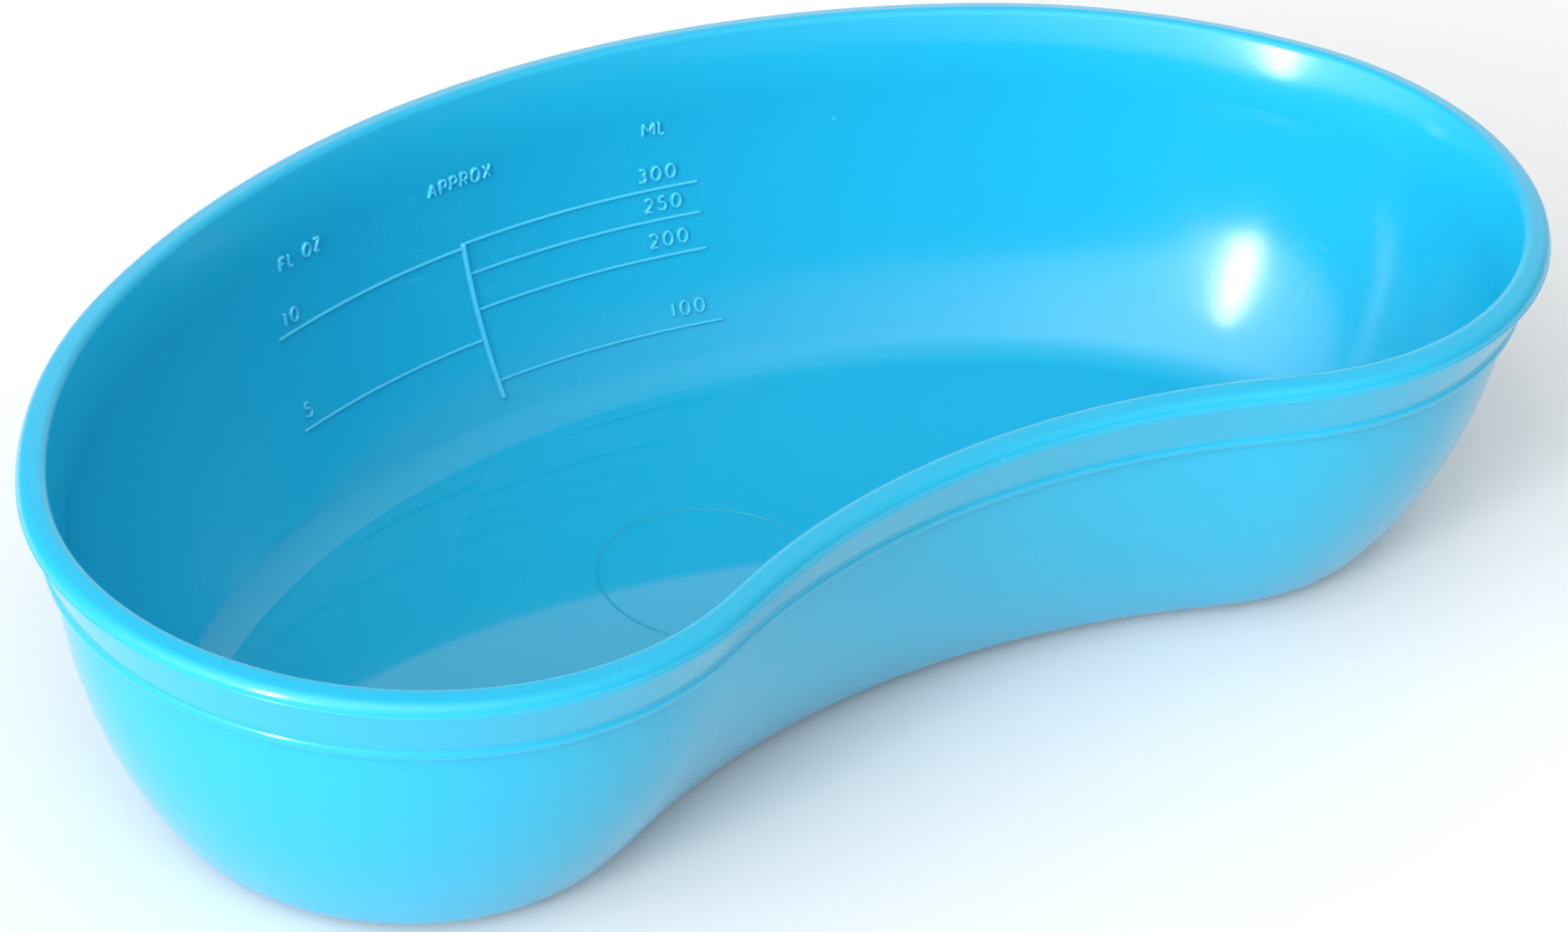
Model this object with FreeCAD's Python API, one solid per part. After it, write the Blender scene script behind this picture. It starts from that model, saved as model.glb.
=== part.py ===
"""Kidney dish: a single injection moulding, drawn as the zones that a toolmaker would name.

Frame: millimetres, +X along the length, +Y from the hollow (notched) side to the full side, +Z up.
The origin is the middle of the footprint, on the surface that the dish stands on.

Every level of the dish is the rim outline moved inwards by a constant distance, the inset. So a stretch
of wall over one arc of the outline is one section, turned about the vertical axis of that arc.
"""
import FreeCAD, Part
import math
import os

Vec = FreeCAD.Vector
sin = math.sin
cos = math.cos
UP = Vec(0, 0, 1)

# --- driving dimensions, mm and degrees -------------------------------------------------------------
LENGTH = 205.0
HEIGHT = 44.62              # the rim's inner corner, before it is rounded
WALL = 1.9                  # walls and floor are one thickness, as a moulding's are

# rim outline, from the middle of the full side round to the middle of the notch
OUTER_R, OUTER_TURN = 132.0, 31.1
SHOULDER_TURN = 30.8        # its radius follows from LENGTH
END_R, END_TURN = 44.3, 142.1

# rim flange: a rounded lip that stands out from the wall and ends below in the mould's parting line
RIM_WIDTH = 3.1             # from the outermost face in to the inner corner
PARTING_DROP = 2.12         # parting line below the inner corner
RIM_FALL = 12.0             # the top face falls outwards, degrees
RIM_ROUND = 1.5
EDGE_ROUND = 1.1            # inner edge
TONGUE = 1.0                # how much of the rim's width belongs to the neck at the top

# neck: the tapered band between the parting line and the stacking shoulder; inside, it flares in one arc
NECK_INSET_TOP = 0.2
NECK_INSET_LOW, NECK_DROP_LOW = 2.9, 9.28
SHOULDER_ROUND = 0.5

# wall: one large arc from the shoulder down to the heel, then the heel's arc to the floor
WALL_INSET_TOP, WALL_DROP_TOP = 3.75, 9.77
WALL_TILT_TOP = 4.5         # degrees from vertical, at the shoulder
WALL_R = 63.2
HEEL_R = 8.7

# graduations, raised on the inside of the full side
RELIEF = 0.3
LINE_W = 0.36
SPINE_W, SPINE_RELIEF = 0.7, 0.4
SPINE_ANGLE = -2.7          # about the full side's axis, degrees from the middle, right is +
SPINE_LOW, SPINE_HIGH = 5.85, 25.25
ML_LEVELS = {"300": 25.0, "250": 21.0, "200": 16.45, "100": 7.95}
ML_LINE_END_X = 28.2
OZ_LEVELS = {"10": 24.5, "5": 12.9}
OZ_LINE_ANGLE = -17.7
CAP_HEIGHT = 1.75
STROKE = 0.36
DIGIT_GAP, WORD_GAP = 0.5, 0.38         # between letters, as a share of their height
NUMBER_ABOVE = 2.05         # a number's middle above its own line
ML_NUMBER_X = {"300": 22.7, "250": 23.1, "200": 23.2, "100": 23.8}
OZ_NUMBER_X = {"10": -35.5, "5": -35.3}
ML_WORD = (22.6, 33.2)      # middle of the word: x, z
OZ_WORD = (-33.2, 33.8)
APPROX_WORD = (-6.4, 33.6)
LAYER_LEFT, LAYER_RIGHT = -22.0, 16.0   # angles that the layer of lettering spans

# witness line that the floor's tool insert leaves
RING_X, RING_FROM_END_AXIS = -2.4, 13.8
RING_R, RING_W, RING_RELIEF = 14.3, 0.3, 0.1


# --- rim outline ------------------------------------------------------------------------------------
def rim_arcs():
    """The outline as six tangent arcs, clockwise from the left shoulder: (name, axis x, axis y,
    radius, first angle, last angle), the angle being the outward normal's, clockwise from +Y.
    The notch's radius is negative: its axis lies outside the dish."""
    t1 = math.radians(OUTER_TURN)
    t2 = t1 + math.radians(SHOULDER_TURN)
    t3 = t2 + math.radians(END_TURN)
    reach = LENGTH / 2 - OUTER_R * sin(t1) - END_R * (1 - sin(t2))
    shoulder_r = reach / (sin(t2) - sin(t1))
    shoulder = ((OUTER_R - shoulder_r) * sin(t1), (OUTER_R - shoulder_r) * cos(t1))
    end = (shoulder[0] + (shoulder_r - END_R) * sin(t2), shoulder[1] + (shoulder_r - END_R) * cos(t2))
    notch_r = -end[0] / sin(t3) - END_R
    notch_y = end[1] + (END_R + notch_r) * cos(t3)
    # the full side reaches OUTER_R beyond its axis and the end lobes reach END_R below theirs
    middle = (OUTER_R + end[1] - END_R) / 2
    turn = 2 * math.pi
    return [
        ("left_shoulder", -shoulder[0], shoulder[1] - middle, shoulder_r, -t2, -t1),
        ("outer", 0.0, -middle, OUTER_R, -t1, t1),
        ("right_shoulder", shoulder[0], shoulder[1] - middle, shoulder_r, t1, t2),
        ("right_end", end[0], end[1] - middle, END_R, t2, t3),
        ("notch", 0.0, notch_y - middle, -notch_r, t3, turn - t3),
        ("left_end", -end[0], end[1] - middle, END_R, turn - t3, turn - t2),
    ]


ARCS = {arc[0]: arc for arc in rim_arcs()}


def rim_point(arc, angle, inset):
    """A point of the outline moved inwards by inset, at the given normal angle."""
    _, x, y, radius, _, _ = arc
    r = radius - inset
    return Vec(x + r * sin(angle), y + r * cos(angle), 0)


def outline_face(inset):
    """The flat face inside the outline at this inset, at z = 0."""
    edges = []
    for arc in ARCS.values():
        first, last = arc[4], arc[5]
        points = [rim_point(arc, a, inset) for a in (first, (first + last) / 2, last)]
        edges.append(Part.Arc(*points).toShape())
    return Part.Face(Part.Wire(edges))


def turned(section, arc, first=None, last=None):
    """Turn a section about one arc's axis. section is a list of edges whose points are
    (inset, 0, z); the solid runs clockwise from the first normal angle to the last."""
    _, x, y, _, arc_first, arc_last = arc
    first = arc_first if first is None else first
    last = arc_last if last is None else last
    face = Part.Face(Part.Wire(section))
    # the inset runs from the rim's outline towards the axis of a convex arc
    turn = FreeCAD.Rotation(UP, -90 - math.degrees(first))
    face.Placement = FreeCAD.Placement(rim_point(arc, first, 0), turn)
    return face.revolve(Vec(x, y, 0), UP, -math.degrees(last - first))


def joined(solids):
    """One solid from solids that share whole faces."""
    first, *rest = solids
    return first.multiFuse(rest).removeSplitter() if rest else first


# --- sections: lines and arcs in (inset, z) ---------------------------------------------------------
def at(inset, z):
    return Vec(inset, 0, z)


def on_circle(centre, radius, tilt):
    """The point whose outward normal points tilt radians below the horizontal."""
    return at(centre[0] - radius * cos(tilt), centre[1] - radius * sin(tilt))


def circle_arc(centre, radius, first, last):
    return Part.Arc(*[on_circle(centre, radius, t) for t in (first, (first + last) / 2, last)]).toShape()


def rounded_chain(points):
    """Edges through (inset, z, radius) points, with each corner rounded by its radius."""
    edges = []
    start = at(*points[0][:2])
    for i in range(1, len(points)):
        corner = at(*points[i][:2])
        radius = points[i][2]
        if radius:
            before = (at(*points[i - 1][:2]) - corner).normalize()
            after = (at(*points[i + 1][:2]) - corner).normalize()
            half = before.getAngle(after) / 2
            reach = radius / math.tan(half)
            middle = corner + (before + after).normalize() * (radius / sin(half) - radius)
            enter, leave = corner + before * reach, corner + after * reach
            edges.append(Part.makeLine(start, enter))
            edges.append(Part.Arc(enter, middle, leave).toShape())
            start = leave
        else:
            edges.append(Part.makeLine(start, corner))
            start = corner
    return edges


TILT_TOP = math.radians(WALL_TILT_TOP)
WALL_TOP_Z = HEIGHT - WALL_DROP_TOP
WALL_CENTRE = (WALL_INSET_TOP + WALL_R * cos(TILT_TOP), WALL_TOP_Z + WALL_R * sin(TILT_TOP))
# the heel's arc is tangent to the wall's arc and to the ground
TILT_LOW = math.asin((WALL_CENTRE[1] - HEEL_R) / (WALL_R - HEEL_R))
FLOOR_INSET = WALL_CENTRE[0] - (WALL_R - HEEL_R) * cos(TILT_LOW)
HEEL_CENTRE = (FLOOR_INSET, HEEL_R)
INNER_R = WALL_R - WALL
INNER_TOP = on_circle(WALL_CENTRE, INNER_R, TILT_TOP)
PARTING_Z = HEIGHT - PARTING_DROP
SEAM_INSET = RIM_WIDTH - TONGUE


def rim_top_z(inset):
    """Height of the rim's sloping top face."""
    return HEIGHT - (RIM_WIDTH - inset) * math.tan(math.radians(RIM_FALL))


def ring_segment(inner_offset, outer_offset, centre, radius, first, last):
    """Section of the shell along one circle, between two depths below its outer surface."""
    outer_r, inner_r = radius - outer_offset, radius - inner_offset
    start, end = [Part.makeLine(on_circle(centre, outer_r, tilt), on_circle(centre, inner_r, tilt))
                  for tilt in (first, last)]
    outer, inner = [circle_arc(centre, r, first, last) for r in (outer_r, inner_r)]
    return [outer, end, inner, start]


def wall_section():
    return Part.__sortEdges__(ring_segment(WALL, 0, WALL_CENTRE, WALL_R, TILT_TOP, TILT_LOW))


def heel_section():
    return Part.__sortEdges__(ring_segment(WALL, 0, HEEL_CENTRE, HEEL_R, TILT_LOW, math.pi / 2))


def flare_arc(start):
    """The neck's inner face: an arc that leaves the wall without a kink and leans out to the rim.
    start is its point near the rim's inner corner."""
    run, rise = INNER_TOP.x - RIM_WIDTH, HEIGHT - INNER_TOP.z
    turn = 2 * (math.atan2(run, rise) - TILT_TOP)
    radius = math.hypot(run, rise) / 2 / sin(turn / 2)
    middle = TILT_TOP + turn / 2
    # the axis lies outside the dish, level with the wall's own tangent
    axis = at(INNER_TOP.x - radius * cos(TILT_TOP), INNER_TOP.z - radius * sin(TILT_TOP))
    halfway = at(axis.x + radius * cos(middle), axis.z + radius * sin(middle))
    return Part.Arc(start, halfway, INNER_TOP).toShape(), TILT_TOP + turn


def neck_section():
    """From the wall up to the rim's inner edge: the shoulder, the tapered band and the tongue that
    the flange is moulded on to."""
    _, lean = flare_arc(at(RIM_WIDTH, HEIGHT))
    along_flare = (RIM_WIDTH + EDGE_ROUND * sin(lean), HEIGHT - EDGE_ROUND * cos(lean))
    return rounded_chain([
        (*INNER_TOP[::2], 0),
        (WALL_INSET_TOP, WALL_TOP_Z, 0),
        (NECK_INSET_LOW, HEIGHT - NECK_DROP_LOW, SHOULDER_ROUND),
        (NECK_INSET_TOP, PARTING_Z, 0),
        (SEAM_INSET, PARTING_Z, 0),
        (SEAM_INSET, rim_top_z(SEAM_INSET), 0),
        (RIM_WIDTH, HEIGHT, EDGE_ROUND),
        (*along_flare, 0),
    ]) + [flare_arc(at(*along_flare))[0]]


def flange_section():
    return rounded_chain([
        (0, PARTING_Z, 0),
        (0, rim_top_z(0), RIM_ROUND),
        (SEAM_INSET, rim_top_z(SEAM_INSET), 0),
        (SEAM_INSET, PARTING_Z, 0),
        (0, PARTING_Z, 0),
    ])


# --- shell ------------------------------------------------------------------------------------------
def floor_plate():
    return outline_face(FLOOR_INSET).extrude(Vec(0, 0, WALL))


def around(section, names):
    return joined([turned(section(), ARCS[name]) for name in names])


def witness_ring():
    """A hairline that stands a tenth of a millimetre above the floor."""
    centre = Vec(RING_X, ARCS["right_end"][2] + RING_FROM_END_AXIS, WALL)
    outer = Part.makeCylinder(RING_R + RING_W / 2, RING_RELIEF, centre)
    return outer.cut(Part.makeCylinder(RING_R - RING_W / 2, RING_RELIEF, centre))


# --- graduations ------------------------------------------------------------------------------------
OUTER_ARC = ARCS["outer"]


def inner_tilt(z):
    """Tilt of the wall's inner surface at height z."""
    return math.asin((WALL_CENTRE[1] - z) / INNER_R)


def inner_radius(z):
    """Plan radius of the full side's inner surface at height z."""
    return OUTER_R - on_circle(WALL_CENTRE, INNER_R, inner_tilt(z)).x


def raised_patch(z_low, z_high, first, last, relief):
    """A pad that follows the inner wall between two heights and two angles."""
    edges = ring_segment(WALL + relief, WALL, WALL_CENTRE, WALL_R, inner_tilt(z_high), inner_tilt(z_low))
    return turned(Part.__sortEdges__(edges), OUTER_ARC, first, last)


def spine_edge(side):
    """Angle of the spine's left (-1) or right (+1) edge."""
    middle_z = (SPINE_LOW + SPINE_HIGH) / 2
    return math.radians(SPINE_ANGLE) + side * SPINE_W / 2 / inner_radius(middle_z)


def scale_spine():
    return raised_patch(SPINE_LOW, SPINE_HIGH, spine_edge(-1), spine_edge(1), SPINE_RELIEF)


def level_line(z, first, last):
    return raised_patch(z - LINE_W / 2, z + LINE_W / 2, first, last, RELIEF)


def ml_lines():
    return [level_line(z, spine_edge(1), math.asin(ML_LINE_END_X / inner_radius(z)))
            for z in ML_LEVELS.values()]


def oz_lines():
    return [level_line(z, math.radians(OZ_LINE_ANGLE), spine_edge(-1)) for z in OZ_LEVELS.values()]


# --- plain single-stroke lettering, drawn in units of the cap height --------------------------------
def pen(x, y):
    return Vec(x, y, 0) * CAP_HEIGHT


def line(*points):
    return [Part.makeLine(pen(*p), pen(*q)) for p, q in zip(points, points[1:])]


def on_bow(x, y, radius, angle):
    return (x + radius * cos(math.radians(angle)), y + radius * sin(math.radians(angle)))


def bow(x, y, radius, first, last):
    """A circular stroke about (x, y) from one angle to another, degrees."""
    angles = (first, (first + last) / 2, last)
    return [Part.Arc(*[pen(*on_bow(x, y, radius, a)) for a in angles]).toShape()]


def half_oval(width, side):
    """The left (-1) or right (+1) half of an upright oval with round ends."""
    r = width / 2
    x = r + side * r
    top = bow(r, 1 - r, r, 90, 90 - side * 90)
    low = bow(r, r, r, 90 - side * 90, 90 - side * 180)
    return top + line((x, 1 - r), (x, r)) + low


def letter_strokes(letter):
    """Each stroke is a list of edges in drawing order; the second value is the letter's width."""
    stem = line((0, 0), (0, 1))
    bowl = line((0, 1), (0.3, 1)) + bow(0.3, 0.74, 0.26, 90, -90) + line((0.3, 0.48), (0, 0.48))
    two_bow = bow(0.3, 0.7, 0.3, 165, -35)
    shapes = {
        "0": ([half_oval(0.69, -1), half_oval(0.69, 1)], 0.69),
        "1": ([line((0.1, 0), (0.1, 1))], 0.2),
        "2": ([two_bow + line(on_bow(0.3, 0.7, 0.3, -35), (0, 0), (0.62, 0))], 0.62),
        "3": ([bow(0.28, 0.77, 0.23, 150, -90), bow(0.28, 0.27, 0.27, 90, -150)], 0.56),
        "5": ([line((0.54, 1), (0.08, 1), (0.05, 0.53)), bow(0.26, 0.3, 0.3, 133, -150)], 0.58),
        "A": ([line((0, 0), (0.34, 1), (0.68, 0)), line((0.13, 0.36), (0.55, 0.36))], 0.68),
        "F": ([line((0, 0), (0, 1), (0.52, 1)), line((0, 0.53), (0.42, 0.53))], 0.52),
        "L": ([line((0, 1), (0, 0), (0.5, 0))], 0.5),
        "M": ([line((0, 0), (0, 1), (0.45, 0.35), (0.9, 1), (0.9, 0))], 0.9),
        "O": ([half_oval(0.7, -1), half_oval(0.7, 1)], 0.7),
        "P": ([stem, bowl], 0.56),
        "R": ([stem, bowl, line((0.26, 0.48), (0.58, 0))], 0.58),
        "X": ([line((0, 1), (0.6, 0)), line((0, 0), (0.6, 1))], 0.6),
        "Z": ([line((0, 1), (0.58, 1), (0, 0), (0.58, 0))], 0.58),
        " ": ([], 0.35),
    }
    return shapes[letter]


def slot_face(start, end):
    """A straight stroke with round ends."""
    along = (end - start).normalize() * (STROKE / 2)
    side = Vec(-along.y, along.x, 0)
    return Part.Face(Part.Wire([
        Part.makeLine(start + side, end + side),
        Part.Arc(end + side, end + along, end - side).toShape(),
        Part.makeLine(end - side, start - side),
        Part.Arc(start - side, start - along, start + side).toShape(),
    ]))


def stroke_face(edges):
    ends = [v.Point for v in edges[0].Vertexes]
    straight = edges[0].Length - ends[0].distanceToPoint(ends[1]) < 1e-6
    if len(edges) == 1 and straight:
        return slot_face(*ends)
    return Part.Wire(edges).makeOffset2D(STROKE / 2, 0, True, False)


def wall_place(angle, z):
    """Placement on the inner wall: x along the wall, y up it, z out of it into the dish."""
    upright = FreeCAD.Rotation(Vec(1, 0, 0), 90 - math.degrees(inner_tilt(z)))
    around_axis = FreeCAD.Rotation(UP, -math.degrees(angle))
    spot = rim_point(OUTER_ARC, angle, OUTER_R - inner_radius(z)) + UP * z
    return FreeCAD.Placement(spot, around_axis * upright)


LAYER_SPAN = [math.radians(angle) for angle in (LAYER_LEFT, LAYER_RIGHT)]
RELIEF_LAYER = raised_patch(SPINE_LOW, WALL_TOP_Z, *LAYER_SPAN, RELIEF)


def raised_letter(letter, angle, z):
    """A letter centred at this angle and height: its strokes, cut out of the relief layer."""
    strokes, width = letter_strokes(letter)
    depth = 3 * RELIEF
    start = Vec(-width / 2 * CAP_HEIGHT, -CAP_HEIGHT / 2, -depth)
    block = joined([stroke_face(edges).translate(start).extrude(UP * 2 * depth) for edges in strokes])
    block.Placement = wall_place(angle, z)
    return RELIEF_LAYER.common(block)


def raised_text(text, x, z, gap):
    """Text centred at x and height z, spaced along the wall."""
    radius = inner_radius(z)
    widths = [letter_strokes(letter)[1] for letter in text]
    middle = math.asin(x / radius)
    letters = []
    start = -(sum(widths) + gap * (len(text) - 1)) / 2
    for letter, width in zip(text, widths):
        if letter != " ":
            along = (start + width / 2) * CAP_HEIGHT
            letters.append(raised_letter(letter, middle + along / radius, z))
        start += width + gap
    return letters


def numbers(levels, places):
    """Every number of a scale, above its own line."""
    return [letter for number, z in levels.items()
            for letter in raised_text(number, places[number], z + NUMBER_ABOVE, DIGIT_GAP)]


# --- every node -------------------------------------------------------------------------------------
RING = list(ARCS)
SHELL = {
    "floor_plate": floor_plate(),
    "heel_curve": around(heel_section, RING),
    "full_side_wall": around(wall_section, ["left_shoulder", "outer", "right_shoulder"]),
    "right_end_wall": around(wall_section, ["right_end"]),
    "notch_wall": around(wall_section, ["notch"]),
    "left_end_wall": around(wall_section, ["left_end"]),
    "neck_band": around(neck_section, RING),
    "rim_flange": around(flange_section, RING),
}
SCALE = {
    "floor_witness_ring": [witness_ring()],
    "scale_spine": [scale_spine()],
    "ml_lines": ml_lines(),
    "fl_oz_lines": oz_lines(),
    "ml_numbers": numbers(ML_LEVELS, ML_NUMBER_X),
    "fl_oz_numbers": numbers(OZ_LEVELS, OZ_NUMBER_X),
    "unit_ml": raised_text("ML", *ML_WORD, WORD_GAP),
    "unit_fl_oz": raised_text("FL OZ", *OZ_WORD, WORD_GAP),
    "word_approx": raised_text("APPROX", *APPROX_WORD, WORD_GAP),
}

os.makedirs("parts", exist_ok=True)
for name, shape in {**SHELL, **{k: Part.makeCompound(v) for k, v in SCALE.items()}}.items():
    shape.exportStep(f"parts/{name}.step")
    box = shape.optimalBoundingBox(False)
    print(f"{name:20s} solids {len(shape.Solids):2d} valid {shape.isValid()} volume {shape.Volume:9.2f}"
          f"  x {box.XMin:7.2f} {box.XMax:7.2f}  y {box.YMin:7.2f} {box.YMax:7.2f}"
          f"  z {box.ZMin:6.2f} {box.ZMax:6.2f}")
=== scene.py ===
# %% [markdown]
# # A kidney dish in blue polypropylene
# The real dish is a single injection moulding: one shot of glossy blue plastic, a rounded rim, a
# tapered neck for stacking, a curved wall and a flat floor, with a scale raised on the inside.
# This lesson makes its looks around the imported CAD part. First we load that part as a fixed frame,
# because everything made here has to sit in exactly the same place and be the same size.

# %% Load the frame
import math
import bpy
import numpy as np
from mathutils import Matrix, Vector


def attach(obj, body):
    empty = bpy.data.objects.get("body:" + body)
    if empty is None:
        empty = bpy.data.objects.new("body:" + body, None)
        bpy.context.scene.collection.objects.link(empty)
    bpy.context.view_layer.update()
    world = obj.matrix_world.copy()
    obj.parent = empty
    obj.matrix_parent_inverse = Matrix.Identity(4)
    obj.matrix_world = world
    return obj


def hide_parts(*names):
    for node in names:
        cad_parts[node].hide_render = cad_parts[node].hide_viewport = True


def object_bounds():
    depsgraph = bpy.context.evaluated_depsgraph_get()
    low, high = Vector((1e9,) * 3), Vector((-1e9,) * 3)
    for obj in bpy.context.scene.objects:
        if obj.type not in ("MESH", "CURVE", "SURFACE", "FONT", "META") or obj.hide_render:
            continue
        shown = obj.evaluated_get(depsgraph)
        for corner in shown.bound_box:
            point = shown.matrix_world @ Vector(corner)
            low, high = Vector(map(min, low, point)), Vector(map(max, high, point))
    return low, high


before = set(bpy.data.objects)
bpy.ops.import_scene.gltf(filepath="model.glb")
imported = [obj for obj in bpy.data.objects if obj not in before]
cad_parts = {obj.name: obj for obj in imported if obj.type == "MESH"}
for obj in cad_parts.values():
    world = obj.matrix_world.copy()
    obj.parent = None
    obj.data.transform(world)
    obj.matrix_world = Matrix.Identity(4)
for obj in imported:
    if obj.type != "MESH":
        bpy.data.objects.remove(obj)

MM = 0.001
cad_box = [list(corner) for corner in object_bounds()]
LENGTH, DEPTH, TALL = [(high - low) / MM for low, high in zip(*cad_box)]
print(f"CAD box {LENGTH:.1f} x {DEPTH:.1f} x {TALL:.1f} mm, nodes: {', '.join(sorted(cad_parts))}")

# %% [markdown]
# ## The rim outline
# Seen from above the rim is six arcs: the full side, two shoulders, two round ends and the notch.
# True arcs meet with a sudden change of curvature, and on glossy plastic a highlight shows that as
# a kink. A toolmaker blends it away, and so do we: we list the curvature along the outline, soften
# the list with a bell curve, add it up once to get the heading and once more to get the points.
# A Bezier curve would also do, but then each level of the dish would need its own offset curve.

# %% Rim outline
FULL_SIDE = (132.0, math.radians(31.1))     # radius, half of its turn
SHOULDER = (79.585, math.radians(30.8))
ROUND_END = (44.3, math.radians(142.1))
NOTCH_R = 98.79
BLEND = 3.0                                 # width of the bell curve, mm


def rim_outline(count):
    """Points and outward normals of the rim, clockwise from above, from the middle of the full side.
    heading = running sum of curvature; point = running sum of (cos heading, -sin heading);
    normal = (sin heading, cos heading). The third result is the distance along the rim."""
    notch_turn = FULL_SIDE[1] + SHOULDER[1] + ROUND_END[1] - math.pi
    radii = np.array([FULL_SIDE[0], SHOULDER[0], ROUND_END[0], -NOTCH_R])
    turns = np.array([FULL_SIDE[1], SHOULDER[1], ROUND_END[1], notch_turn])
    ends = np.cumsum(np.abs(radii) * turns)
    around = 2 * ends[-1]
    step = around / count
    s = (np.arange(count) + 0.5) * step
    curvature = 1 / radii[np.searchsorted(ends, np.minimum(s, around - s))]
    wave = np.fft.rfftfreq(count, step)
    curvature = np.fft.irfft(np.fft.rfft(curvature) * np.exp(-2 * (np.pi * wave * BLEND) ** 2), count)
    heading = np.concatenate([[0], np.cumsum(curvature)[:-1]]) * step
    middle = heading + curvature * step / 2
    run = np.stack([np.cos(middle), -np.sin(middle)], 1) * step
    run -= run.mean(0)                      # closes the loop exactly
    points = np.concatenate([[[0, 0]], np.cumsum(run, 0)[:-1]])
    scale = LENGTH / np.ptp(points[:, 0])
    points = (points - (points.max(0) + points.min(0)) / 2) * scale
    return points, np.stack([np.sin(heading), np.cos(heading)], 1), np.arange(count) * step


AROUND = 600
fine_points, fine_normals, fine_along = rim_outline(16 * AROUND)
rim_points, rim_normals = fine_points[::16], fine_normals[::16]
print(f"rim length {fine_along[-1]:.1f} mm, reaches {np.ptp(rim_points[:, 1]):.2f} mm front to back")

# %% [markdown]
# ## The section
# Cut the dish anywhere and the same section appears, measured inwards from the rim. We draw it as
# one line that starts under the floor, climbs the outside, turns over the rim, goes down the inside
# and ends on the floor. Every point carries the angle that the surface faces, from -90 degrees
# (down) through 0 (out), 90 (up) and 180 (in), so that shading never has to guess it from the facets.
# Outside, the shoulder that stacked dishes rest on has a round edge. Inside, the neck flares in one arc.

# %% Section of the moulding
WALL = 1.9
HEEL_AXIS, HEEL_R = (22.006, 8.7), 8.7
WALL_AXIS, WALL_R = (66.755, 39.809), 63.2
WALL_TOP, WALL_LOW = 4.5, 34.806            # how far the wall leans, degrees
NECK_LOW, NECK_TOP = (2.64, 36.5), (0.2, 42.5)
LEDGE_AXIS, LEDGE_R, LEDGE_UP = (3.35, 35.75), 0.9, 30.0     # the round edge of the stacking shoulder
PARTING_Z, FIN = 42.5, 0.09                 # the fin is the hair of plastic squeezed into the mould's joint
RIM_WIDTH, RIM_PEAK = 3.1, 44.62            # where the rim's top meets its inner face, before rounding
RIM_FALL = 12.0
FLOOR_EDGE = 36.0                           # the rings stop here and one flat face closes the floor


def sweep(axis, radius, first, last, count):
    """Arc of a section: axis + radius * (-cos a, sin a) as the facing angle a runs from first to last.
    A hollow curve has a negative radius."""
    a = np.radians(np.linspace(first, last, count))
    return np.stack([axis[0] - radius * np.cos(a), axis[1] + radius * np.sin(a), a], 1)


def facing(p, q):
    """Facing angle of a straight run from p to q: its direction less a right angle."""
    return math.degrees(math.atan2(q[1] - p[1], p[0] - q[0])) - 90


def rounded(p, corner, q, radius, count):
    """Arc that rounds one corner. Its axis lies on the corner's bisector, radius / cos(half turn) away."""
    first, last = facing(p, corner), facing(corner, q)
    last = first + (last - first + 180) % 360 - 180
    signed = math.copysign(radius, last - first)
    half = math.radians((first + last) / 2)
    reach = signed / math.cos(math.radians(last - first) / 2)
    axis = (corner[0] + reach * math.cos(half), corner[1] - reach * math.sin(half))
    return sweep(axis, signed, first, last, count)


def flare(foot):
    """Axis, radius and last lean of the neck's inner face: one arc from the top of the wall, without
    a kink, to the rim's inner edge. turn = 2 * (lean of the chord - WALL_TOP) and
    radius = chord / (2 sin(turn / 2))."""
    run, rise = foot[0] - RIM_WIDTH, RIM_PEAK - foot[1]
    turn = 2 * (math.degrees(math.atan2(run, rise)) - WALL_TOP)
    radius = math.hypot(run, rise) / 2 / math.sin(math.radians(turn / 2))
    top = math.radians(WALL_TOP)
    return (foot[0] - radius * math.cos(top), foot[1] - radius * math.sin(top)), radius, WALL_TOP + turn


def shoulder():
    """The stacking shoulder: a round edge, then a hollow back to the neck's line.
    Radius of the hollow = gap from the round edge to the line / (1 - cos(turn))."""
    edge = sweep(LEDGE_AXIS, LEDGE_R, -90, LEDGE_UP, 14)
    neck = facing(NECK_LOW, NECK_TOP)
    out = np.array([-math.cos(math.radians(neck)), math.sin(math.radians(neck))])
    radius = (edge[-1, :2] - NECK_LOW) @ out / (1 - math.cos(math.radians(LEDGE_UP - neck)))
    up = math.radians(LEDGE_UP)
    axis = edge[-1, :2] + radius * np.array([-math.cos(up), math.sin(up)])
    return np.concatenate([edge, sweep(axis, -radius, LEDGE_UP, neck, 8)[1:]])


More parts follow.
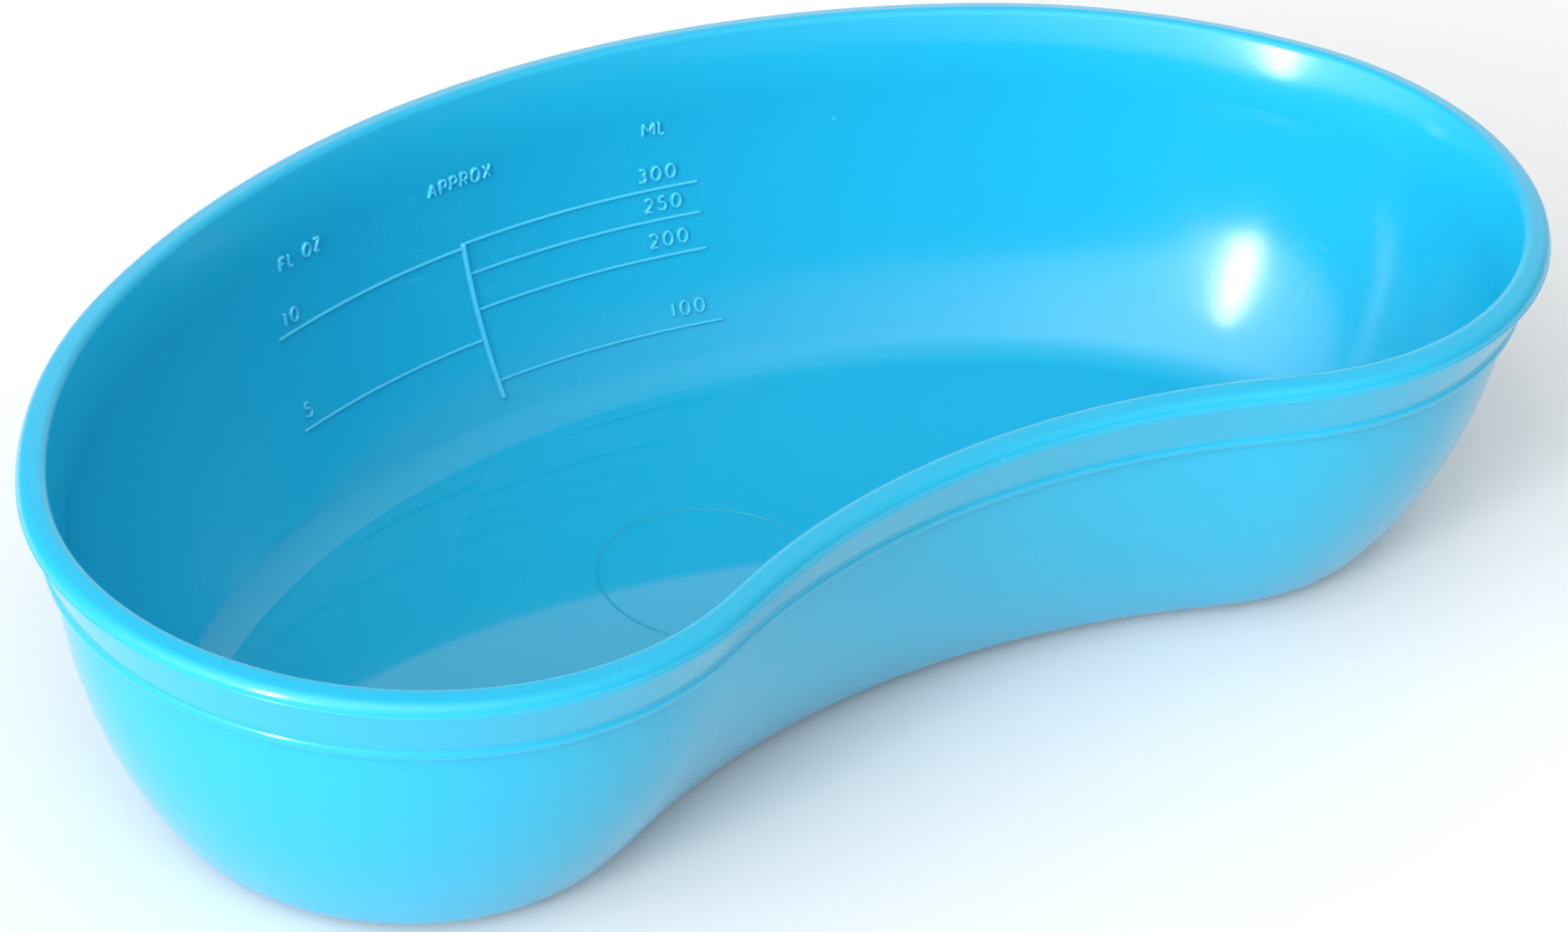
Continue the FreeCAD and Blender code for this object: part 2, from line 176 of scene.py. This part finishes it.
def moulding_section():
    """Inset, height and facing angle of every point of the section."""
    rise = math.tan(math.radians(RIM_FALL))
    wall_outer = sweep(WALL_AXIS, WALL_R, -WALL_LOW, -WALL_TOP, 24)
    wall_inner = sweep(WALL_AXIS, WALL - WALL_R, 180 - WALL_TOP, 180 - WALL_LOW, 26)
    down_wall = (math.sin(math.radians(WALL_TOP)), -math.cos(math.radians(WALL_TOP)))
    step, knee = wall_outer[-1, :2], wall_inner[0, :2]
    flare_axis, flare_radius, lean = flare(knee)
    outer_low, outer_top = (0.0, PARTING_Z), (0.0, RIM_PEAK - RIM_WIDTH * rise)
    inner_edge = (RIM_WIDTH, RIM_PEAK)
    down_flare = (RIM_WIDTH + math.sin(math.radians(lean)), RIM_PEAK - math.cos(math.radians(lean)))
    under = np.array([[FLOOR_EDGE, 0, -np.pi / 2], [29, 0, -np.pi / 2]])
    floor = np.array([[29, WALL, np.pi / 2], [FLOOR_EDGE, WALL, np.pi / 2]])
    return np.concatenate([
        under, sweep(HEEL_AXIS, HEEL_R, -90, -WALL_LOW, 12)[:-1], wall_outer[:-1],
        rounded(step + down_wall, step, (LEDGE_AXIS[0], step[1]), 0.3, 6), shoulder(),
        rounded(NECK_LOW, NECK_TOP, outer_low, 0.06, 3),
        sweep((0.0, PARTING_Z + FIN), FIN, -90, 60, 7),
        rounded(outer_low, outer_top, inner_edge, 1.5, 14),
        rounded(outer_top, inner_edge, down_flare, 1.1, 14),
        sweep(flare_axis, flare_radius, 182 - lean, 180 - WALL_TOP, 14), wall_inner[1:-1],
        sweep(HEEL_AXIS, WALL - HEEL_R, 180 - WALL_LOW, 90, 16), floor,
    ])


section = moulding_section()
print(f"section: {len(section)} points, top {section[:, 1].max():.2f} mm")

# %% [markdown]
# ## The moulding
# Carrying the section round the outline makes the whole skin in one go: every rim point moves
# inwards by the section's inset and up by its height. This one piece stands for all eight CAD
# zones of the shell, since on the real dish nothing divides them. Eight separate pieces would
# show a dark seam wherever light has to travel through the plastic.

# %% Build the moulding


def make_piece(name, points, faces, normals=None):
    """A smooth mesh object from whole arrays: points in mm, faces as vertex numbers."""
    mesh = bpy.data.meshes.new(name)
    mesh.from_pydata((np.asarray(points) * MM).tolist(), [], faces)
    mesh.shade_smooth()
    mesh.update()
    if normals is not None:
        mesh.normals_split_custom_set_from_vertices(np.asarray(normals).tolist())
    piece = bpy.data.objects.new(name, mesh)
    bpy.context.scene.collection.objects.link(piece)
    print(f"{name}: {len(mesh.vertices)} points, {len(mesh.polygons)} faces")
    return piece


def grid_faces(rows, columns, wrap):
    """Quads of a rows x columns grid. With wrap the last row joins the first."""
    i = np.arange(rows if wrap else rows - 1)[:, None]
    j = np.arange(columns - 1)[None, :]
    after = (i + 1) % rows
    quads = np.stack([i * columns + j, i * columns + j + 1, after * columns + j + 1, after * columns + j], -1)
    return quads.reshape(-1, 4).tolist()


def carried_round(points, normals, profile):
    """Skin of the dish: rim point - inset * rim normal, at the section's height.
    Its normal is (cos a * rim normal, sin a)."""
    inset, z, a = profile.T
    plan = points[:, None, :] - normals[:, None, :] * inset[None, :, None]
    place = np.concatenate([plan, np.broadcast_to(z[None, :, None], (*plan.shape[:2], 1))], 2)
    side = normals[:, None, :] * np.cos(a)[None, :, None]
    outward = np.concatenate([side, np.broadcast_to(np.sin(a)[None, :, None], (*side.shape[:2], 1))], 2)
    return place.reshape(-1, 3), outward.reshape(-1, 3)


skin, skin_normals = carried_round(rim_points, rim_normals, section)
columns = len(section)
ring = np.arange(AROUND) * columns
caps = [ring.tolist(), (ring[::-1] + columns - 1).tolist()]
dish = make_piece("dish_moulding", skin, grid_faces(AROUND, columns, True) + caps, skin_normals)
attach(dish, "root")
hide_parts("floor_plate", "heel_curve", "full_side_wall", "right_end_wall", "notch_wall",
            "left_end_wall", "neck_band", "rim_flange")

# %% [markdown]
# ## The raised scale
# The scale was cut into the mould with a round-nosed tool, so on the dish it stands up as soft
# half-round beads. Extruded letters would have hard flat tops. We carry a small ellipse along each
# stroke instead, on the wall's own surface: a spot there is an angle about the axis of the full
# side and a height. Each bead ends in a round tip, closed by a single point.

# %% Spots on the inner wall
INNER_R = WALL_R - WALL


def wall_lean(z):
    """Lean of the inner wall at height z, from the wall's circle."""
    return np.arcsin((WALL_AXIS[1] - z) / INNER_R)


def wall_radius(z):
    """Distance of the full side's inner face from the axis it turns about."""
    return FULL_SIDE[0] - WALL_AXIS[0] + INNER_R * np.cos(wall_lean(z))


def wall_spot(angle, z):
    """Place and normal on the inner wall: the rim at distance angle * radius, moved in by the inset."""
    angle, z = np.broadcast_arrays(angle, z)
    along = np.mod(angle * FULL_SIDE[0], fine_along[-1])
    plan = np.stack([np.interp(along, fine_along, fine_points[:, k]) for k in (0, 1)], -1)
    out = np.stack([np.interp(along, fine_along, fine_normals[:, k]) for k in (0, 1)], -1)
    lean = wall_lean(z)
    inset = FULL_SIDE[0] - wall_radius(z)
    place = np.concatenate([plan - out * inset[..., None], z[..., None]], -1)
    normal = np.concatenate([-out * np.cos(lean)[..., None], np.sin(lean)[..., None]], -1)
    return place, normal


print("wall radius at mid height", round(float(wall_radius(20.0)), 2))

# %% Beads
RING = 12


def bead(place, normal, width, height, spacing=0.15):
    """Half-round bead along a line of points. Ring = point + across * width/2 * cos t
    + normal * height * sin t; towards each end the ring shrinks as sqrt(1 - x*x), to a closed tip."""
    length = np.concatenate([[0], np.cumsum(np.linalg.norm(np.diff(place, axis=0), axis=1))])
    tip = width / 2 * (1 - np.cos(np.linspace(0, np.pi / 2, 6)))
    inner = np.linspace(width / 2, length[-1] - width / 2, max(3, int((length[-1] - width) / spacing)))
    at = np.concatenate([tip[:-1], inner, (length[-1] - tip[:-1])[::-1]])
    centre = np.stack([np.interp(at, length, place[:, k]) for k in range(3)], 1)
    up = np.stack([np.interp(at, length, normal[:, k]) for k in range(3)], 1)
    ahead = np.gradient(centre, at, axis=0)
    across = np.cross(ahead, up)
    across /= np.linalg.norm(across, axis=1)[:, None]
    from_tip = np.minimum(np.minimum(at, length[-1] - at) / (width / 2), 1)
    size = np.sqrt(1 - (1 - from_tip) ** 2)[1:-1, None, None]
    t = np.linspace(0, 2 * np.pi, RING, endpoint=False)
    wide = np.cos(t)[None, :, None] * across[1:-1, None, :] * width / 2
    lift = np.where(np.sin(t) > 0, height, 0.12)[None, :, None] * np.sin(t)[None, :, None] * up[1:-1, None, :]
    rings = centre[1:-1, None, :] + size * (wide + lift)
    count = len(rings)
    i, j = np.arange(count - 1)[:, None], np.arange(RING)[None, :]
    beside = (j + 1) % RING
    quads = np.stack([i * RING + j, (i + 1) * RING + j, (i + 1) * RING + beside, i * RING + beside], -1)
    tail = np.arange(RING)
    low = np.stack([np.full(RING, count * RING), tail, (tail + 1) % RING], 1)
    last = tail + (count - 1) * RING
    high = np.stack([np.full(RING, count * RING + 1), np.roll(last, -1), last], 1)
    points = np.concatenate([rings.reshape(-1, 3), centre[:1], centre[-1:]])
    return points, quads.reshape(-1, 4).tolist() + low.tolist() + high.tolist()


def bead_piece(name, node, beads):
    """Join beads into one piece that stands for one CAD node."""
    points, faces, start = [], [], 0
    for some_points, some_faces in beads:
        points.append(some_points)
        faces += [[start + v for v in face] for face in some_faces]
        start += len(some_points)
    piece = make_piece(name, np.concatenate(points), faces)
    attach(piece, "root")
    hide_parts(node)
    return piece


# %% [markdown]
# ## Spine and level lines
# A thick spine runs up the wall, a little left of the middle, and hair-thin level lines leave it:
# millilitres to the right, fluid ounces to the left. Each line keeps one height all along, because
# that is where the liquid's surface would meet the wall.

# %% Spine and lines
LINE_W, LINE_H = 0.42, 0.34
SPINE_W, SPINE_H = 0.75, 0.52
SPINE_LOW, SPINE_HIGH = 5.85, 25.25         # it leans: a little further left at the top
SPINE_ANGLES = np.radians([-2.5, -2.95])
ML_LEVELS = {"300": 25.0, "250": 21.0, "200": 16.45, "100": 7.95}
OZ_LEVELS = {"10": 24.5, "5": 12.9}
ML_LINE_END_X, OZ_LINE_ANGLE = 28.2, math.radians(-17.7)


def spine_angle(z):
    """Angle of the spine at height z, on a straight line between its two ends."""
    return np.interp(z, (SPINE_LOW, SPINE_HIGH), SPINE_ANGLES)


heights = np.linspace(SPINE_LOW, SPINE_HIGH, 80)
spine = bead_piece("scale_spine_bead", "scale_spine",
                   [bead(*wall_spot(spine_angle(heights), heights), SPINE_W, SPINE_H)])


def level_line(z, first, last):
    """A bead at one height between two angles."""
    return bead(*wall_spot(np.linspace(first, last, 120), z), LINE_W, LINE_H, 0.4)


ml_lines = bead_piece("ml_line_beads", "ml_lines",
                      [level_line(z, spine_angle(z), math.asin(ML_LINE_END_X / wall_radius(z)))
                       for z in ML_LEVELS.values()])
oz_lines = bead_piece("fl_oz_line_beads", "fl_oz_lines",
                      [level_line(z, OZ_LINE_ANGLE, spine_angle(z)) for z in OZ_LEVELS.values()])

# %% [markdown]
# ## Numbers and unit words
# The scale's numbers are plain engraver's capitals, one stroke of the tool at a time. A font would
# be filled shapes with someone's design in them. Here each letter is a short list of straight
# strokes and bows in units of the letter's height, and every stroke becomes one bead.

# %% Strokes of the letters
CAP_HEIGHT, STROKE_W, STROKE_H = 1.75, 0.4, 0.42
DIGIT_GAP, WORD_GAP = 0.5, 0.38             # between letters, as a share of their height


def straight(x0, y0, x1, y1):
    """A straight stroke."""
    t = np.linspace(0, 1, 12)[:, None]
    return np.array([[x0, y0]]) * (1 - t) + np.array([[x1, y1]]) * t


def bow(x, y, across, upright, first, last):
    """Part of an ellipse about (x, y), between two angles in degrees."""
    a = np.radians(np.linspace(first, last, 40))
    return np.stack([x + across * np.cos(a), y + upright * np.sin(a)], 1)


LETTERS = {
    "0": ([bow(0.345, 0.5, 0.345, 0.5, 90, 470)], 0.69),
    "1": ([straight(0.1, 0, 0.1, 1)], 0.2),
    "2": ([bow(0.3, 0.7, 0.3, 0.3, 165, -35), straight(0.546, 0.528, 0, 0), straight(0, 0, 0.62, 0)], 0.62),
    "3": ([bow(0.28, 0.77, 0.23, 0.23, 150, -90), bow(0.28, 0.27, 0.27, 0.27, 90, -150)], 0.56),
    "5": ([straight(0.54, 1, 0.08, 1), straight(0.08, 1, 0.05, 0.53),
           bow(0.26, 0.3, 0.3, 0.3, 133, -150)], 0.58),
    "A": ([straight(0, 0, 0.34, 1), straight(0.34, 1, 0.68, 0), straight(0.13, 0.36, 0.55, 0.36)], 0.68),
    "F": ([straight(0, 0, 0, 1), straight(0, 1, 0.52, 1), straight(0, 0.53, 0.42, 0.53)], 0.52),
    "L": ([straight(0, 1, 0, 0), straight(0, 0, 0.5, 0)], 0.5),
    "M": ([straight(0, 0, 0, 1), straight(0, 1, 0.45, 0.35), straight(0.45, 0.35, 0.9, 1),
           straight(0.9, 1, 0.9, 0)], 0.9),
    "O": ([bow(0.35, 0.5, 0.35, 0.5, 90, 470)], 0.7),
    "P": ([straight(0, 0, 0, 1), bow(0.3, 0.74, 0.26, 0.26, 90, -90), straight(0, 1, 0.3, 1),
           straight(0, 0.48, 0.3, 0.48)], 0.56),
    "X": ([straight(0, 1, 0.6, 0), straight(0, 0, 0.6, 1)], 0.6),
    "Z": ([straight(0, 1, 0.58, 1), straight(0.58, 1, 0, 0), straight(0, 0, 0.58, 0)], 0.58),
}
LETTERS["R"] = (LETTERS["P"][0] + [straight(0.26, 0.48, 0.58, 0)], 0.58)


def wall_text(text, x, z, gap):
    """Beads of a word centred at x and height z. A stroke point (u, v) lies u along the wall and
    v up its slope from the word's middle."""
    radius, lean = wall_radius(z), wall_lean(z)
    widths = [LETTERS[c][1] if c != " " else 0.35 for c in text]
    start = -(sum(widths) + gap * (len(text) - 1)) / 2
    middle = math.asin(x / radius)
    beads = []
    for letter, width in zip(text, widths):
        for stroke in (LETTERS[letter][0] if letter != " " else []):
            u = (start + stroke[:, 0]) * CAP_HEIGHT
            v = (stroke[:, 1] - 0.5) * CAP_HEIGHT
            place, normal = wall_spot(middle + u / radius, z + v * np.cos(lean))
            beads.append(bead(place, normal, STROKE_W, STROKE_H, 0.12))
        start += width + gap
    return beads


# %% Numbers and words in place
ABOVE_LINE = 2.05
ML_X = {"300": 22.7, "250": 23.1, "200": 23.2, "100": 23.8}
OZ_X = {"10": -35.5, "5": -35.3}


def scale_numbers(levels, places):
    """Beads of every number of one scale, each above its own line."""
    return [b for number, z in levels.items()
            for b in wall_text(number, places[number], z + ABOVE_LINE, DIGIT_GAP)]


ml_numbers = bead_piece("ml_number_beads", "ml_numbers", scale_numbers(ML_LEVELS, ML_X))
oz_numbers = bead_piece("fl_oz_number_beads", "fl_oz_numbers", scale_numbers(OZ_LEVELS, OZ_X))
word_ml = bead_piece("unit_ml_beads", "unit_ml", wall_text("ML", 22.6, 33.2, WORD_GAP))
word_oz = bead_piece("unit_fl_oz_beads", "unit_fl_oz", wall_text("FL OZ", -33.2, 33.8, WORD_GAP))
word_approx = bead_piece("word_approx_beads", "word_approx", wall_text("APPROX", -6.4, 33.6, WORD_GAP))

# %% [markdown]
# ## The witness ring
# The floor's round tool insert leaves a hairline in the plastic. It stands a tenth of a millimetre
# high, just enough to catch the light. It is a ring, so its bead joins up with itself.

# %% Witness ring
RING_CENTRE, RING_R = (-2.4, 0.7), 14.3


def witness_ring(width=0.34, height=0.1, rings=240):
    """Torus with a flattened tube: radius R + width/2 * cos t, height h * sin t, and a sunk lower half."""
    a = np.linspace(0, 2 * np.pi, rings, endpoint=False)[:, None]
    t = np.linspace(0, 2 * np.pi, RING + 1)[None, :-1]
    r = RING_R + width / 2 * np.cos(t)
    points = np.stack([RING_CENTRE[0] + r * np.cos(a), RING_CENTRE[1] + r * np.sin(a),
                       WALL + height * np.sin(t) + 0 * a], -1).reshape(-1, 3)
    i, j = np.arange(rings)[:, None], np.arange(RING)[None, :]
    after, beside = (i + 1) % rings, (j + 1) % RING
    quads = np.stack([i * RING + j, after * RING + j, after * RING + beside, i * RING + beside], -1)
    return points, quads.reshape(-1, 4).tolist()


floor_ring = bead_piece("witness_ring_bead", "floor_witness_ring", [witness_ring()])

# %% [markdown]
# ## Surface effects that the plastic shares
# The moulding and its scale are the same plastic, so what the surface shows is built once, as node
# groups with named sockets, and each material plugs in its own amounts. The first group gives the
# slow ripple of a thin moulded wall, as a height. The second gives the marks of handling: fine
# scuffs in a few directions, and sparse specks. All patterns are measured in object space, so they
# stay on the plastic whichever way it is seen.

# %% Node helpers


def add_node(tree, kind, **settings):
    """Make a node. A setting named after a socket goes to that socket, any other to the node."""
    node = tree.nodes.new(kind)
    for name, value in settings.items():
        socket = node.inputs.get(name.replace("_", " ").title())
        if socket is None:
            setattr(node, name, value)
        elif isinstance(value, bpy.types.NodeSocket):
            tree.links.new(value, socket)
        else:
            socket.default_value = value
    return node


def maths(tree, operation, *values):
    """A Math node over sockets or numbers; returns its output."""
    node = tree.nodes.new("ShaderNodeMath")
    node.operation = operation
    for socket, value in zip(node.inputs, values):
        if isinstance(value, bpy.types.NodeSocket):
            tree.links.new(value, socket)
        else:
            socket.default_value = value
    return node.outputs[0]


def stretched(tree, vector, turn, scale):
    """The vector turned, then scaled by a different amount along each axis."""
    node = tree.nodes.new("ShaderNodeMapping")
    node.inputs["Rotation"].default_value = turn
    node.inputs["Scale"].default_value = scale
    tree.links.new(vector, node.inputs["Vector"])
    return node.outputs["Vector"]


def new_group(name, inputs, outputs):
    """A shader node group with float and vector inputs and float outputs."""
    tree = bpy.data.node_groups.new(name, "ShaderNodeTree")
    for label, kind, value in inputs:
        socket = tree.interface.new_socket(label, in_out="INPUT", socket_type=kind)
        if kind == "NodeSocketFloat":
            socket.default_value = value
    for label in outputs:
        tree.interface.new_socket(label, in_out="OUTPUT", socket_type="NodeSocketFloat")
    return tree, tree.nodes.new("NodeGroupInput"), tree.nodes.new("NodeGroupOutput")


# %% Ripple group


def build_ripple():
    """Height in mm: two slow noises, one long and one short, times their depths."""
    tree, given, result = new_group("wall_ripple", [
        ("Vector", "NodeSocketVector", None), ("Long Depth", "NodeSocketFloat", 0.02),
        ("Short Depth", "NodeSocketFloat", 0.002)], ["Height"])
    long_wave = add_node(tree, "ShaderNodeTexNoise", vector=given.outputs["Vector"], scale=28.0, detail=0.0)
    short_wave = add_node(tree, "ShaderNodeTexNoise", vector=given.outputs["Vector"], scale=210.0, detail=1.0)
    slow = maths(tree, "MULTIPLY", long_wave.outputs["Fac"], given.outputs["Long Depth"])
    quick = maths(tree, "MULTIPLY", short_wave.outputs["Fac"], given.outputs["Short Depth"])
    tree.links.new(maths(tree, "ADD", slow, quick), result.inputs["Height"])
    return tree


ripple = build_ripple()
print("group", ripple.name, [s.name for s in ripple.interface.items_tree])

# %% Handling marks group


def build_marks():
    """Scuffs: noise stretched along three directions, kept where it is highest. Specks: the heart
    of a few cells of a cell pattern. Both are masks from 0 to 1."""
    tree, given, result = new_group("handling_marks", [
        ("Vector", "NodeSocketVector", None), ("Scuffs", "NodeSocketFloat", 0.5),
        ("Specks", "NodeSocketFloat", 0.5)], ["Scuff", "Speck", "Cloud"])
    vector = given.outputs["Vector"]
    cloud = add_node(tree, "ShaderNodeTexNoise", vector=vector, scale=35.0, detail=3.0).outputs["Fac"]
    total = None
    for turn, scale in (((0, 0.3, 0.5), (60, 1500, 900)), ((0.4, 0.2, -0.7), (1300, 70, 1100)),
                        ((0.2, -0.6, 0.1), (900, 1400, 80))):
        streak = add_node(tree, "ShaderNodeTexNoise", vector=stretched(tree, vector, turn, scale), scale=1.0,
                          detail=1.0).outputs["Fac"]
        line = add_node(tree, "ShaderNodeMapRange", value=streak, from_min=0.66, from_max=0.78).outputs[0]
        total = line if total is None else maths(tree, "MAXIMUM", total, line)
    patch = add_node(tree, "ShaderNodeMapRange", value=cloud, from_min=0.5, from_max=0.68).outputs[0]
    scuff = maths(tree, "MULTIPLY", maths(tree, "MULTIPLY", total, patch), given.outputs["Scuffs"])
    cells = add_node(tree, "ShaderNodeTexVoronoi", vector=vector, scale=150.0)
    near = add_node(tree, "ShaderNodeMapRange", value=cells.outputs["Distance"],
                    from_min=0.045, from_max=0.02)
    chosen = maths(tree, "GREATER_THAN", add_node(tree, "ShaderNodeSeparateColor",
                                                  color=cells.outputs["Color"]).outputs[0], 0.93)
    speck = maths(tree, "MULTIPLY", maths(tree, "MULTIPLY", near.outputs[0], chosen), given.outputs["Specks"])
    tree.links.new(scuff, result.inputs["Scuff"])
    tree.links.new(speck, result.inputs["Speck"])
    tree.links.new(cloud, result.inputs["Cloud"])
    return tree


marks = build_marks()
print("group", marks.name, [s.name for s in marks.interface.items_tree])

# %% [markdown]
# ## The plastic
# Polypropylene coloured in the mass: a deep saturated blue with a smooth skin that reflects like
# a weak mirror, and a little light travels inside it, which is what makes a thin rim glow.
# Principled BSDF covers all of that. The colour lightens where a scuff or speck is, the gloss
# breaks up slightly, and the ripple bends the reflections.

# %% Plastic materials
PLASTIC, SCALE_PAINTED_HIGHLIGHT = (0.012, 0.395, 0.62), (0.06, 0.52, 0.76)     # the raised scale's paler blue is a painted highlight for the light its beads catch
SCUFFED = (0.12, 0.58, 0.80)


def plastic(name, colour, scuffs, specks, ripple_depth, floor_gloss, wall_gloss, glow):
    """Blue polypropylene. The two glosses are the roughness of clean skin on the floor and on the
    walls, glow is how much light travels inside."""
    material = bpy.data.materials.new(name)
    material.use_nodes = True
    tree = material.node_tree
    tree.nodes.clear()
    place = tree.nodes.new("ShaderNodeTexCoord").outputs["Object"]
    wavy = tree.nodes.new("ShaderNodeGroup")
    wavy.node_tree = ripple
    wavy.inputs["Long Depth"].default_value = ripple_depth
    tree.links.new(place, wavy.inputs["Vector"])
    worn = tree.nodes.new("ShaderNodeGroup")
    worn.node_tree = marks
    worn.inputs["Scuffs"].default_value = scuffs
    worn.inputs["Specks"].default_value = specks
    tree.links.new(place, worn.inputs["Vector"])

    tint = add_node(tree, "ShaderNodeMix", data_type="RGBA")
    light = maths(tree, "MAXIMUM", maths(tree, "MULTIPLY", worn.outputs["Scuff"], 0.5), worn.outputs["Speck"])
    colours = [s for s in tint.inputs if s.type == "RGBA"]
    colours[0].default_value, colours[1].default_value = (*colour, 1), (*SCUFFED, 1)
    tree.links.new(light, tint.inputs["Factor"])
    level = add_node(tree, "ShaderNodeSeparateXYZ", vector=place).outputs["Z"]
    clean = add_node(tree, "ShaderNodeMapRange", value=level, from_min=2 * MM, from_max=9 * MM,
                     to_min=floor_gloss, to_max=wall_gloss).outputs[0]
    patchy = add_node(tree, "ShaderNodeMapRange", value=worn.outputs["Cloud"], from_min=0.3, from_max=0.7,
                      to_min=0.85, to_max=1.25).outputs[0]
    rough = maths(tree, "MULTIPLY", clean, patchy)
    rough = maths(tree, "ADD", rough, maths(tree, "MULTIPLY", worn.outputs["Scuff"], 0.2))
    height = maths(tree, "ADD", wavy.outputs["Height"],
                   maths(tree, "ADD", maths(tree, "MULTIPLY", worn.outputs["Scuff"], -0.004),
                         maths(tree, "MULTIPLY", worn.outputs["Speck"], 0.03)))
    bump = add_node(tree, "ShaderNodeBump", height=height, strength=1.0, distance=MM)
    shader = add_node(tree, "ShaderNodeBsdfPrincipled", roughness=rough, normal=bump.outputs["Normal"])
    tree.links.new([s for s in tint.outputs if s.type == "RGBA"][0], shader.inputs["Base Color"])
    shader.inputs["IOR"].default_value = 1.49
    shader.inputs["Subsurface Weight"].default_value = glow
    shader.inputs["Subsurface Radius"].default_value = (0.2, 0.8, 1.0)
    shader.inputs["Subsurface Scale"].default_value = 0.004
    out = tree.nodes.new("ShaderNodeOutputMaterial")
    tree.links.new(shader.outputs["BSDF"], out.inputs["Surface"])
    return material


moulded = plastic("moulded_blue_polypropylene", PLASTIC, scuffs=0.25, specks=0.8, ripple_depth=0.02,
                  floor_gloss=0.05, wall_gloss=0.14, glow=0.2)
# The raised scale takes the paler blue, a painted highlight for the light that its beads catch.
raised = plastic("raised_blue_polypropylene", SCALE_PAINTED_HIGHLIGHT, scuffs=0.1, specks=0.0, ripple_depth=0.0,
                 floor_gloss=0.08, wall_gloss=0.08, glow=0.0)
for piece in (dish, floor_ring):
    piece.data.materials.append(moulded)
for piece in (spine, ml_lines, oz_lines, ml_numbers, oz_numbers, word_ml, word_oz, word_approx):
    piece.data.materials.append(raised)
print("materials:", moulded.name, raised.name)

# %% [markdown]
# ## The studio
# The dish stands on a plain white sheet in soft light. One tall softbox low at the left makes the
# long highlight on the inside of the right end and leaves the left end's inside in its own shade.
# The rest is soft white washes, stronger from the left and the front than from behind.

# %% Floor and light
DISH_MIDDLE = np.array([0.0, 0.0, 0.02])


def sheet_of_paper(size):
    """A flat square under the dish, a whisker below it."""
    corners = np.array([[-1, -1], [1, -1], [1, 1], [-1, 1]]) * size / 2 / MM
    points = np.concatenate([corners, np.full((4, 1), -0.05)], 1)
    return make_piece("studio_floor", points, [[0, 1, 2, 3]])


def softbox(name, azimuth, elevation, distance, width, height, radiance):
    """An oval of light aimed at the dish. Direction = (sin az cos el, cos az cos el, sin el).
    Power = radiance * pi * area, and the area is pi / 4 * width * height."""
    az, el = math.radians(azimuth), math.radians(elevation)
    away = np.array([math.sin(az) * math.cos(el), math.cos(az) * math.cos(el), math.sin(el)])
    lamp = bpy.data.lights.new(name, "AREA")
    lamp.shape = "ELLIPSE"
    lamp.size, lamp.size_y = width, height
    lamp.energy = radiance * math.pi * math.pi / 4 * width * height
    holder = bpy.data.objects.new(name, lamp)
    side = np.cross([0, 0, 1], away)
    side /= np.linalg.norm(side)
    frame_axes = np.stack([side, np.cross(away, side), away], 1)
    holder.matrix_world = Matrix.Translation(DISH_MIDDLE + away * distance) @ Matrix(frame_axes).to_4x4()
    bpy.context.scene.collection.objects.link(holder)
    return holder


floor = sheet_of_paper(6.0)
paper = bpy.data.materials.new("white_paper")
paper.use_nodes = True
paper.node_tree.nodes["Principled BSDF"].inputs["Base Color"].default_value = (0.79, 0.79, 0.79, 1)
paper.node_tree.nodes["Principled BSDF"].inputs["Roughness"].default_value = 0.9
floor.data.materials.append(paper)

key = softbox("left_softbox", azimuth=-108, elevation=16, distance=1.6, width=0.2, height=0.8, radiance=29.0)

# each soft wash of light: azimuth and elevation in degrees, strength, and how narrow it is. The last
# is the glow that the softbox throws on the room round it.
WASHES = ((-90, 12, 2.1, 5.0), (-135, 45, 2.35, 5.0), (45, 12, 1.3, 5.0), (-90, 45, 0.4, 5.0),
          (120, 50, 0.5, 5.0), (-108, 16, 4.0, 60.0))
EVEN = 0.08


def studio_world():
    """Brightness = an even part + sum of strength * exp(narrow * (cos(angle off the wash) - 1))."""
    world = bpy.data.worlds.new("studio_washes")
    world.use_nodes = True
    tree = world.node_tree
    looking = tree.nodes.new("ShaderNodeTexCoord").outputs["Generated"]
    total = EVEN
    for azimuth, elevation, strength, narrow in WASHES:
        az, el = math.radians(azimuth), math.radians(elevation)
        towards = tree.nodes.new("ShaderNodeVectorMath")
        towards.operation = "DOT_PRODUCT"
        aim = (math.sin(az) * math.cos(el), math.cos(az) * math.cos(el), math.sin(el))
        towards.inputs[1].default_value = aim
        tree.links.new(looking, towards.inputs[0])
        off = maths(tree, "MULTIPLY", maths(tree, "SUBTRACT", towards.outputs["Value"], 1.0), narrow)
        total = maths(tree, "ADD", maths(tree, "MULTIPLY", maths(tree, "EXPONENT", off), strength), total)
    background = tree.nodes["Background"]
    background.inputs["Color"].default_value = (1, 1, 1, 1)
    tree.links.new(total, background.inputs["Strength"])
    return world


world = studio_world()
bpy.context.scene.world = world
bpy.context.scene.view_settings.view_transform = "Standard"
print("lights:", key.name)

# %% [markdown]
# ## The camera
# A long lens from the front left, looking down at the dish. Its axes are given as three directions
# that stand square to each other: right, up and back.

# %% Camera
RIGHT = (0.791838, -0.607533, 0.062425)
UP = (0.295378, 0.470428, 0.831534)
BACK = (-0.534551, -0.640001, 0.551955)
lens = bpy.data.cameras.new("camera")
lens.sensor_width = 36.0
lens.lens = 137.88
lens.clip_start, lens.clip_end = 0.01, 20.0
camera = bpy.data.objects.new("camera", lens)
axes = Matrix((RIGHT, UP, BACK)).transposed().to_4x4()
camera.matrix_world = Matrix.Translation((-0.38663, -0.47133, 0.42143)) @ axes
bpy.context.scene.collection.objects.link(camera)
bpy.context.scene.camera = camera
print("camera at", [round(c, 3) for c in camera.location])
